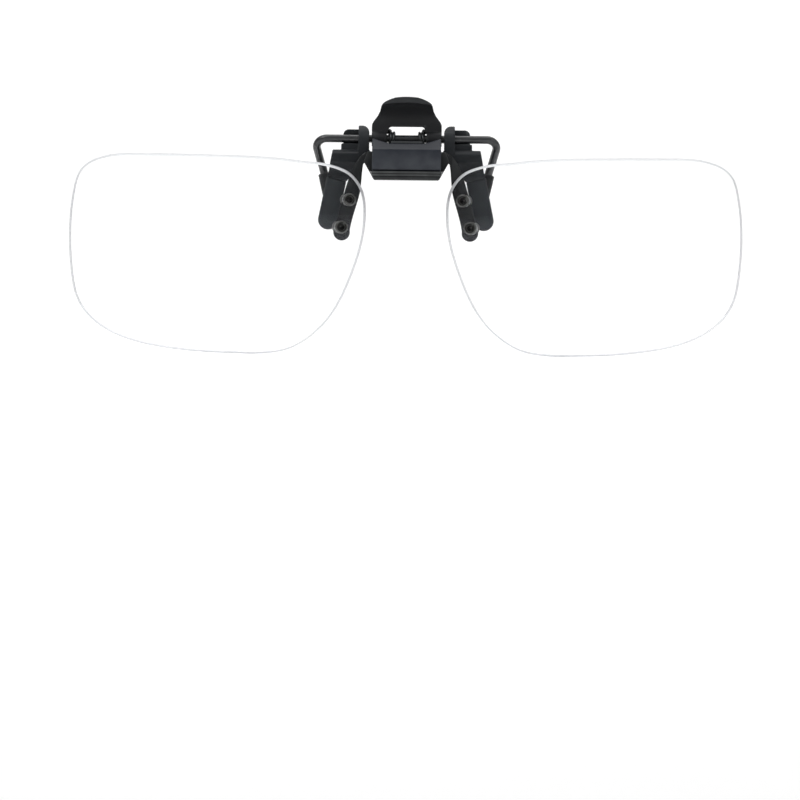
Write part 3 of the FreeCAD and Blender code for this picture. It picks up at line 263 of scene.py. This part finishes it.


# each moulding's last colour is its edge colour: wear and painted highlight
FINISHES = {
    "flip_housing": moulded("housing_plastic", (0.0095, 0.0120, 0.0190), (0.0110, 0.0135, 0.0210), 0.40,
                            0.10 * MM, 0.003 * MM, (0.055, 0.060, 0.068)),
    "lens_yoke": moulded("yoke_plastic", (0.0075, 0.0085, 0.0095), (0.0090, 0.0100, 0.0110), 0.40,
                         0.10 * MM, 0.003 * MM, (0.085, 0.090, 0.090)),
    "clip_base": moulded("base_plastic", (0.0115, 0.0135, 0.0160), (0.0155, 0.0180, 0.0210), 0.50,
                         0.16 * MM, 0.010 * MM, (0.070, 0.075, 0.078)),
    "thumb_lever": moulded("lever_plastic", (0.0150, 0.0155, 0.0172), (0.0170, 0.0176, 0.0192), 0.45,
                           0.12 * MM, 0.0012 * MM, (0.05, 0.055, 0.057)),
    "jaw_wire": coated_wire(),
    "torsion_spring": metal("spring_metal", (0.04, 0.042, 0.044), (0.10, 0.105, 0.11), 0.35,
                            0.1 * MM, (1, 1, 1)),
    "detent_spring": metal("leaf_metal", (0.30, 0.31, 0.32), (0.45, 0.46, 0.47), 0.30,
                           0.15 * MM, (0.2, 1, 1)),
    "flip_pin": metal("pin_metal", (0.42, 0.43, 0.44), (0.60, 0.61, 0.62), 0.28, 0.1 * MM, (0.1, 1, 1)),
}
PAD_RUBBER = rubber("pad_rubber", (0.019, 0.023, 0.026), (0.026, 0.031, 0.035), 0.66)
SLEEVE_RUBBER = rubber("sleeve_rubber", (0.010, 0.011, 0.012), (0.016, 0.018, 0.019), 0.66)
RIVET_METAL = metal("rivet_metal", (0.07, 0.072, 0.07), (0.12, 0.122, 0.118), 0.34, 0.12 * MM, (1, 1, 1))
# painted shade: near-black metal laid on the rivets' recesses and bores, where shade falls
PAINTED_RECESS_SHADE = metal("painted_recess_shade", (0.012, 0.012, 0.012), (0.03, 0.03, 0.029), 0.45, 0.12 * MM, (1, 1, 1))
WASHER_METAL = metal("washer_metal", (0.30, 0.30, 0.29), (0.42, 0.42, 0.41), 0.35, 0.12 * MM, (1, 1, 1))
LENS_EDGE = lens_edge()
NYLON = clear_nylon("clear_nylon")
for side in SIDES:
    FINISHES["front_pad_" + side] = PAD_RUBBER
    FINISHES["rear_sleeve_" + side] = SLEEVE_RUBBER
    FINISHES["lens_" + side] = lens_glass()
    for row in ROWS:
        FINISHES[f"lens_rivet_{row}_{side}"] = RIVET_METAL
        FINISHES[f"back_washer_{row}_{side}"] = WASHER_METAL
        FINISHES[f"front_washer_{row}_{side}"] = NYLON
        FINISHES[f"lens_bushing_{row}_{side}"] = NYLON

for name, finish in FINISHES.items():
    node = frame["nodes"][name]
    node.data.materials.clear()
    node.data.materials.append(finish)


# ---------------------------------------------------------------- pieces that stand for CAD nodes
BODY_OF = {node: body for body, nodes in frame["record"]["behaviour"]["bodies"].items() for node in nodes}


SAME_POINT = 0.0005 * MM
FLAT_WITHIN = math.radians(0.5)   # facets that meet flatter than this become one face


def copy_of(node, name):
    """A new piece with a CAD node's shape and finish, its corners joined and its flat faces whole."""
    mesh = frame["nodes"][node].data.copy()
    piece = bpy.data.objects.new(name, mesh)
    bpy.context.scene.collection.objects.link(piece)
    shape = bmesh.new()
    shape.from_mesh(mesh)
    bmesh.ops.remove_doubles(shape, verts=shape.verts, dist=SAME_POINT)
    bmesh.ops.dissolve_limit(shape, angle_limit=FLAT_WITHIN, verts=shape.verts, edges=shape.edges)
    shape.to_mesh(mesh)
    shape.free()
    return piece


def stands_for(piece, node):
    """The piece rides on the CAD node's body and hides the node."""
    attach(piece, BODY_OF[node])
    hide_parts(node)


SHARP_CORNER = math.radians(28)
SAMPLE_STEP = 0.15 * MM           # between the points that stand for a sharp edge
ROOM = 2.2                        # two sharp edges side by side need this many roundings between them
BESIDE = 0.5                      # cosines: the other point lies beside the edge, not further along it,
ALONGSIDE = 0.6                   # and its own edge runs much the same way


def roomy_corners(shape, width):
    """The sharp edges that have room to be rounded: no other sharp edge runs close alongside them."""
    sharp = [edge for edge in shape.edges if edge.calc_face_angle(0.0) > SHARP_CORNER]
    samples = []
    for edge in sharp:
        a, b = edge.verts[0].co, edge.verts[1].co
        along = (b - a).normalized()
        count = max(2, int((b - a).length / SAMPLE_STEP))
        samples += [(a.lerp(b, (i + 0.5) / count), along, edge) for i in range(count)]
    tree = KDTree(len(samples))
    for i, (point, _, _) in enumerate(samples):
        tree.insert(point, i)
    tree.balance()
    crowded = set()
    for point, along, edge in samples:
        for _, j, away in tree.find_range(point, ROOM * width):
            other_point, other_along, other = samples[j]
            if other is edge or away < 2 * SAME_POINT:
                continue
            apart = (other_point - point).normalized()
            if abs(apart.dot(along)) < BESIDE and abs(along.dot(other_along)) > ALONGSIDE:
                crowded.add(edge)
    return [edge for edge in sharp if edge not in crowded]


def round_corners(piece, width):
    """Rounds the piece's sharp edges by that width, as moulding leaves them."""
    shape = bmesh.new()
    shape.from_mesh(piece.data)
    chosen = roomy_corners(shape, width)
    bmesh.ops.bevel(shape, geom=chosen, offset=width, offset_type="OFFSET", segments=3, profile=0.5,
                    affect="EDGES", clamp_overlap=False, miter_outer="SHARP")
    bmesh.ops.remove_doubles(shape, verts=shape.verts, dist=SAME_POINT)
    shape.to_mesh(piece.data)
    shape.free()


def shade(piece, sharp_above=40):
    """Smooth shading, broken at edges sharper than that many degrees and led by the larger faces."""
    mesh = piece.data
    for polygon in mesh.polygons:
        polygon.use_smooth = True
    mesh.set_sharp_from_angle(angle=math.radians(sharp_above))
    weighted = piece.modifiers.new("even_shading", "WEIGHTED_NORMAL")
    weighted.keep_sharp = True


def moulding(node, width, reshape=None):
    """A moulded part with its corners rounded, and then reshaped by that function."""
    piece = copy_of(node, node + "_moulding")
    round_corners(piece, width)
    if reshape:
        reshape(piece)
    shade(piece)
    stands_for(piece, node)


CROWN_SINK = 0.8 * MM             # the arch falls by this much, CROWN_HALF_WIDTH from the middle
CROWN_HALF_WIDTH = 5 * MM
CROWN_HEIGHT = 3.5 * MM           # below the lever's top, where the arch starts to grow
CROWN_CUTS = 12                   # on either side of the middle, so that the flat faces can bend
CROWN_CUT_SPACING = 0.45 * MM
FLARE = 0.05                      # share by which the thumb end is wider
FLARE_HEIGHT = 5.5 * MM           # below the top, where it starts to widen
FLARE_RUN = 2.5 * MM              # height over which it reaches its full width


def crowned(piece):
    """Arches the lever's thumb end from side to side, and widens it a little."""
    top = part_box("thumb_lever")[1].z
    shape = bmesh.new()
    shape.from_mesh(piece.data)
    for i in range(-CROWN_CUTS, CROWN_CUTS + 1):
        bmesh.ops.bisect_plane(shape, geom=shape.verts[:] + shape.edges[:] + shape.faces[:],
                               plane_co=(i * CROWN_CUT_SPACING, 0, 0), plane_no=(1, 0, 0))
    for vert in shape.verts:
        rise = max(0.0, min(1.0, (vert.co.z - top + CROWN_HEIGHT) / CROWN_HEIGHT))
        wide = max(0.0, min(1.0, (vert.co.z - top + FLARE_HEIGHT) / FLARE_RUN))
        vert.co.z -= CROWN_SINK * rise * (vert.co.x / CROWN_HALF_WIDTH)**2
        vert.co.x *= 1 + FLARE * wide
    shape.to_mesh(piece.data)
    shape.free()


def applied(piece):
    """The piece with its modifiers worked into its mesh."""
    ready = piece.evaluated_get(bpy.context.evaluated_depsgraph_get())
    mesh = bpy.data.meshes.new_from_object(ready)
    piece.modifiers.clear()
    piece.data = mesh
    return piece


BOOT_GRID = 0.11 * MM
BOOT_SMOOTHING = 0.5
BOOT_PASSES = 7


def soft_boot(side):
    """A rubber boot: the CAD pad with every edge rolled over, as moulded rubber has."""
    node = "front_pad_" + side
    piece = copy_of(node, node + "_boot")
    remesh = piece.modifiers.new("even_grid", "REMESH")
    remesh.mode = "VOXEL"
    remesh.voxel_size = BOOT_GRID
    rolled = piece.modifiers.new("rolled", "SMOOTH")
    rolled.factor = BOOT_SMOOTHING
    rolled.iterations = BOOT_PASSES
    applied(piece)
    shade(piece)
    stands_for(piece, node)


def turned(name, profile, start, along, finish, steps=40):
    """A solid of revolution: (distance, radius) pairs round an axis, closed into a loop."""
    side = along.orthogonal().normalized()
    other = along.cross(side)
    shape = bmesh.new()
    rings = []
    for away, radius in profile:
        centre = start + along * away
        ring = []
        for i in range(steps):
            angle = 2 * math.pi * i / steps
            ring.append(shape.verts.new(centre + (side * math.cos(angle) + other * math.sin(angle)) * radius))
        rings.append(ring)
    for here, there in zip(rings, rings[1:] + rings[:1]):
        for i in range(steps):
            j = (i + 1) % steps
            shape.faces.new((here[i], here[j], there[j], there[i]))
    bmesh.ops.recalc_face_normals(shape, faces=shape.faces)
    mesh = bpy.data.meshes.new(name)
    shape.to_mesh(mesh)
    shape.free()
    mesh.materials.append(finish)
    piece = bpy.data.objects.new(name, mesh)
    bpy.context.scene.collection.objects.link(piece)
    return piece


def main_axis(node):
    """A long round node's lower end, direction upwards, length and radius."""
    points = np.array([vertex.co for vertex in frame["nodes"][node].data.vertices])
    middle = (points.min(0) + points.max(0)) / 2
    along = np.linalg.svd(points - middle, full_matrices=False)[2][0]
    along = along if along[2] > 0 else -along
    reach = (points - middle) @ along
    off_axis = np.linalg.norm(points - middle - np.outer(reach, along), axis=1)
    start = middle + along * reach.min()
    return Vector(start), Vector(along), float(reach.max() - reach.min()), float(off_axis.max())


SLEEVE_BORE = 0.79 * MM
SLEEVE_MOUTH = 0.12 * MM          # the bore's end lies this far inside the tube's end
SLEEVE_LIP = 0.28 * MM            # radius of the rolled ends
SLEEVE_BELLY = 0.05 * MM          # the ends are this much thinner than the middle
SLEEVE_RINGS = (0.88, 0.93)       # shares of the length, from the lower end
SLEEVE_RING_WIDTH = 0.012         # also a share of the length
SLEEVE_RING_DEPTH = 0.05 * MM
SLEEVE_STEPS = 44


def soft_sleeve(side):
    """A rubber tube pushed over the wire: rolled ends, a slight belly and two faint rings near its top."""
    node = "rear_sleeve_" + side
    start, along, length, radius = main_axis(node)
    outside = []
    for i in range(SLEEVE_STEPS + 1):
        share = i / SLEEVE_STEPS
        away = share * length
        from_end = min(away, length - away)
        roll = SLEEVE_LIP - math.sqrt(max(0.0, SLEEVE_LIP**2 - max(0.0, SLEEVE_LIP - from_end)**2))
        belly = SLEEVE_BELLY * math.sin(math.pi * share) - SLEEVE_BELLY
        rings = sum(math.exp(-((share - at) / SLEEVE_RING_WIDTH)**2) for at in SLEEVE_RINGS)
        outside.append((away, radius + belly - roll - SLEEVE_RING_DEPTH * rings))
    profile = [(SLEEVE_MOUTH, SLEEVE_BORE)] + outside + [(length - SLEEVE_MOUTH, SLEEVE_BORE)]
    piece = turned(node + "_tube", profile, start, along, SLEEVE_RUBBER)
    shade(piece, 50)
    stands_for(piece, node)


RIVET_ROUNDING = 0.07 * MM
RECESS_RADIUS = 0.67 * MM         # faces nearer the rivet's axis than this take a painted shade


def rivet_piece(node):
    """The rivet with its edges eased, and painted shade in the recess of its head and down its bore."""
    piece = copy_of(node, node + "_head")
    round_corners(piece, RIVET_ROUNDING)
    shade(piece)
    mesh = piece.data
    mesh.materials.append(PAINTED_RECESS_SHADE)
    middle = sum((vertex.co for vertex in mesh.vertices), Vector()) / len(mesh.vertices)
    along = main_axis(node)[1]
    for polygon in mesh.polygons:
        out = polygon.center - middle
        off_axis = (out - along * out.dot(along)).length
        # recess and bore faces take the painted shade
        polygon.material_index = 1 if off_axis < RECESS_RADIUS else 0
    stands_for(piece, node)


def fitted_sphere(points):
    """The centre of the sphere that lies nearest to the points."""
    a = np.c_[2 * points, np.ones(len(points))]
    return np.linalg.lstsq(a, (points**2).sum(1), rcond=None)[0][:3]


def ring_of(edges):
    """The vertices of a closed chain of edges, in order."""
    near = {}
    for edge in edges:
        for here, there in (edge.verts, reversed(edge.verts)):
            near.setdefault(here, []).append(there)
    first = edges[0].verts[0]
    ring = [first, near[first][0]]
    while True:
        a, b = near[ring[-1]]
        ahead = b if a is ring[-2] else a
        if ahead is first:
            return ring
        ring.append(ahead)


DRAWN_REACH = 6                   # bevels: a lens face gives way this far from a rim that is drawn in


def drawn_in(shape, faces, ring, centre, radius, width):
    """Moves a ring of a lens face's vertices inwards on its sphere, and those near it by less and less."""
    tree = KDTree(len(ring))
    for i, vert in enumerate(ring):
        tree.insert(vert.co, i)
    tree.balance()
    inward = []
    for i, vert in enumerate(ring):
        along = (ring[(i + 1) % len(ring)].co - ring[i - 1].co).normalized()
        across = along.cross((vert.co - centre).normalized())
        middle = sum((face.calc_center_median() for face in vert.link_faces if face in faces), Vector())
        middle /= sum(face in faces for face in vert.link_faces)
        inward.append(across if across.dot(middle - vert.co) > 0 else -across)
    moved = []
    for vert in {vert for face in faces for vert in face.verts}:
        _, i, away = tree.find(vert.co)
        share = max(0.0, 1 - away / (DRAWN_REACH * width))
        if share > 0:
            place = vert.co + inward[i] * width * share
            moved.append((vert, centre + (place - centre).normalized() * radius))
    for vert, place in moved:
        vert.co = place


LENS_BEVEL = 0.42 * MM
EDGE_SLOT = 1                     # the ground edge's place among a lens's materials
FACING = 0.9                      # cosine: a lens's front and back faces look along Y at least this squarely
BORE_REACH = 1.4 * MM             # edge faces nearer a hole's middle than this are the hole's wall


def eased_rim(piece, holes, width):
    """Grinds the lens's edge to a flat between two bevels; the whole edge takes the second material."""
    shape = bmesh.new()
    shape.from_mesh(piece.data)
    shape.normal_update()
    sides = {}
    for face in shape.faces:
        y = face.normal.y
        sides.setdefault("front" if y < -FACING else "back" if y > FACING else "edge", set()).add(face)
    for face in sides["edge"]:
        face.material_index = EDGE_SLOT
    wall = [face for face in sides["edge"]
            if min(math.hypot(face.calc_center_median().x - hole.x, face.calc_center_median().z - hole.z)
                   for hole in holes) > BORE_REACH]
    wall_set = set(wall)
    spheres = {}
    rings = {}
    for kind in ("front", "back"):
        points = np.array([vert.co for face in sides[kind] for vert in face.verts])
        centre = fitted_sphere(points)
        spheres[kind] = (Vector(centre), float(np.linalg.norm(points - centre, axis=1).mean()))
        rings[kind] = ring_of([edge for edge in shape.edges if len(edge.link_faces) == 2
                               and sum(face in wall_set for face in edge.link_faces) == 1
                               and sum(face in sides[kind] for face in edge.link_faces) == 1])
    axis = (spheres["back"][0] - spheres["front"][0]).normalized()
    bmesh.ops.delete(shape, geom=wall, context="FACES_ONLY")
    bmesh.ops.delete(shape, geom=[edge for edge in shape.edges if not edge.link_faces], context="EDGES")
    flat_edges = []
    for kind, deeper in (("front", axis), ("back", -axis)):
        ring = rings[kind]
        flat = [shape.verts.new(vert.co + deeper * width) for vert in ring]
        for i in range(len(ring)):
            made = shape.faces.new((ring[i - 1], ring[i], flat[i], flat[i - 1]))
            made.material_index = EDGE_SLOT
            flat_edges.append(shape.edges.get((flat[i - 1], flat[i])))
        drawn_in(shape, sides[kind], ring, *spheres[kind], width)
    bridge = bmesh.ops.bridge_loops(shape, edges=flat_edges)
    for face in bridge["faces"]:
        face.material_index = EDGE_SLOT
    bmesh.ops.recalc_face_normals(shape, faces=shape.faces)
    shape.to_mesh(piece.data)
    shape.free()


def lens_piece(side):
    """The lens with truly spherical shading on both faces and a ground edge."""
    node = "lens_" + side
    piece = copy_of(node, node + "_glass")
    bores = [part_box(f"lens_bushing_{row}_{side}") for row in ROWS]
    piece.data.materials.append(LENS_EDGE)
    eased_rim(piece, [(low + high) / 2 for low, high in bores], LENS_BEVEL)
    mesh = piece.data
    kinds = ["edge" if polygon.material_index == EDGE_SLOT else "front" if polygon.normal.y < 0 else "back"
             for polygon in mesh.polygons]
    for polygon in mesh.polygons:
        polygon.use_smooth = True
    kind_of = {}
    for polygon, kind in zip(mesh.polygons, kinds):
        for key in polygon.edge_keys:
            kind_of.setdefault(key, set()).add(kind)
    for edge in mesh.edges:
        edge.use_edge_sharp = len(kind_of[tuple(sorted(edge.vertices))]) > 1
    normals = [Vector(corner.vector) for corner in mesh.corner_normals]
    for kind, sign in (("front", 1), ("back", -1)):
        corners = [i for p, k in zip(mesh.polygons, kinds) if k == kind for i in p.loop_indices]
        points = np.array([mesh.vertices[mesh.loops[i].vertex_index].co for i in corners])
        centre = fitted_sphere(points)
        for i, point in zip(corners, points):
            normals[i] = Vector((point - centre) * sign).normalized()
    mesh.normals_split_custom_set(normals)
    stands_for(piece, node)


def live_spring():
    """The double torsion spring: a smooth-shaded copy left where it stands, the CAD spring hidden."""
    piece = copy_of("torsion_spring", "torsion_spring_wire")
    for polygon in piece.data.polygons:
        polygon.use_smooth = True
    axle = next(joint for joint in frame["joints"] if joint["name"] == "jaw_hinge")["pos_m"]
    centre = Vector(axle)
    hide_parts("torsion_spring")
    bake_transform(piece)


ROUNDING = 0.22 * MM
BASE_ROUNDING = 0.16 * MM         # less, for its finer ears, saddles and blocks

moulding("flip_housing", ROUNDING)
moulding("lens_yoke", ROUNDING)
moulding("clip_base", BASE_ROUNDING)
moulding("thumb_lever", ROUNDING, crowned)
for side in SIDES:
    soft_boot(side)
    soft_sleeve(side)
    lens_piece(side)
    for row in ROWS:
        rivet_piece(f"lens_rivet_{row}_{side}")
live_spring()


# ---------------------------------------------------------------- floor, lights and camera
FLOOR_Z = cad_box[0].z
FLOOR_HALF = 1.6
FLOOR_BACK = 0.9
SWEEP_RADIUS = 0.5
SWEEP_STEPS = 24
WALL_HEIGHT = 1.6


def backdrop():
    """A pale floor that curves up into a wall behind."""
    profile = [(-FLOOR_HALF, 0.0), (FLOOR_BACK, 0.0)]
    for i in range(1, SWEEP_STEPS + 1):
        angle = math.radians(90) * i / SWEEP_STEPS
        profile.append((FLOOR_BACK + SWEEP_RADIUS * math.sin(angle), SWEEP_RADIUS * (1 - math.cos(angle))))
    profile.append((FLOOR_BACK + SWEEP_RADIUS, WALL_HEIGHT))
    mesh = bpy.data.meshes.new("floor")
    points = [(x, y, FLOOR_Z + z) for y, z in profile for x in (-FLOOR_HALF, FLOOR_HALF)]
    faces = [(2 * i, 2 * i + 1, 2 * i + 3, 2 * i + 2) for i in range(len(profile) - 1)]
    mesh.from_pydata(points, [], faces)
    mesh.materials.append(floor_paint())
    for polygon in mesh.polygons:
        polygon.use_smooth = True
    made = bpy.data.objects.new("floor", mesh)
    bpy.context.scene.collection.objects.link(made)


LAMPS = (
    # name, place, the point it shines at, width and height, power
    ("key", (-0.45, -0.55, 0.75), (0, 0, 0), (0.7, 0.5), 3.6),
    ("fill", (0.6, -0.5, 0.45), (0, 0, 0), (0.6, 0.6), 1.5),
    ("top", (0, 0.1, 0.9), (0, 0, 0), (0.9, 0.6), 3.4),
    ("wall_light", (0, 0.3, 1.0), (0, 1.4, 0.2), (1.6, 0.5), 5.5),
)
DAYLIGHT = 0.28


def softbox(name, place, aim, size, power):
    """A soft rectangular lamp."""
    lamp = bpy.data.lights.new(name, "AREA")
    lamp.shape = "RECTANGLE"
    lamp.size, lamp.size_y = size
    lamp.energy = power
    made = bpy.data.objects.new(name, lamp)
    made.location = place
    made.rotation_euler = (Vector(aim) - Vector(place)).to_track_quat("-Z", "Y").to_euler()
    bpy.context.scene.collection.objects.link(made)


CAMERA_DISTANCE = 0.9
CAMERA_ELEVATION = math.radians(2)
FRAME_WIDTH = 160.6 * MM          # seen across the picture, at the lenses
CAMERA_ROLL = math.radians(0.6)   # the photographed clip hangs a touch askew
AIM = Vector((-0.8 * MM, -9 * MM, -39.4 * MM))


def camera():
    """A long lens, nearly level, looking at a point below the clip."""
    data = bpy.data.cameras.new("camera")
    data.sensor_width = 36.0
    data.lens = data.sensor_width * CAMERA_DISTANCE / FRAME_WIDTH
    data.clip_start = 0.01
    data.clip_end = 20
    made = bpy.data.objects.new("camera", data)
    back = Vector((0, -math.cos(CAMERA_ELEVATION), math.sin(CAMERA_ELEVATION)))
    made.location = AIM + back * CAMERA_DISTANCE
    upright = (-back).to_track_quat("-Z", "Y")
    made.rotation_euler = (upright @ Quaternion((0, 0, 1), CAMERA_ROLL)).to_euler()
    bpy.context.scene.collection.objects.link(made)
    bpy.context.scene.camera = made


def daylight(strength):
    """Even white light from all round."""
    world = bpy.data.worlds.new("studio")
    world.use_nodes = True
    world.node_tree.nodes["Background"].inputs["Color"].default_value = (1, 1, 1, 1)
    world.node_tree.nodes["Background"].inputs["Strength"].default_value = strength
    bpy.context.scene.world = world


backdrop()
for lamp in LAMPS:
    softbox(*lamp)
daylight(DAYLIGHT)
camera()
bpy.context.scene.view_settings.view_transform = "Standard"
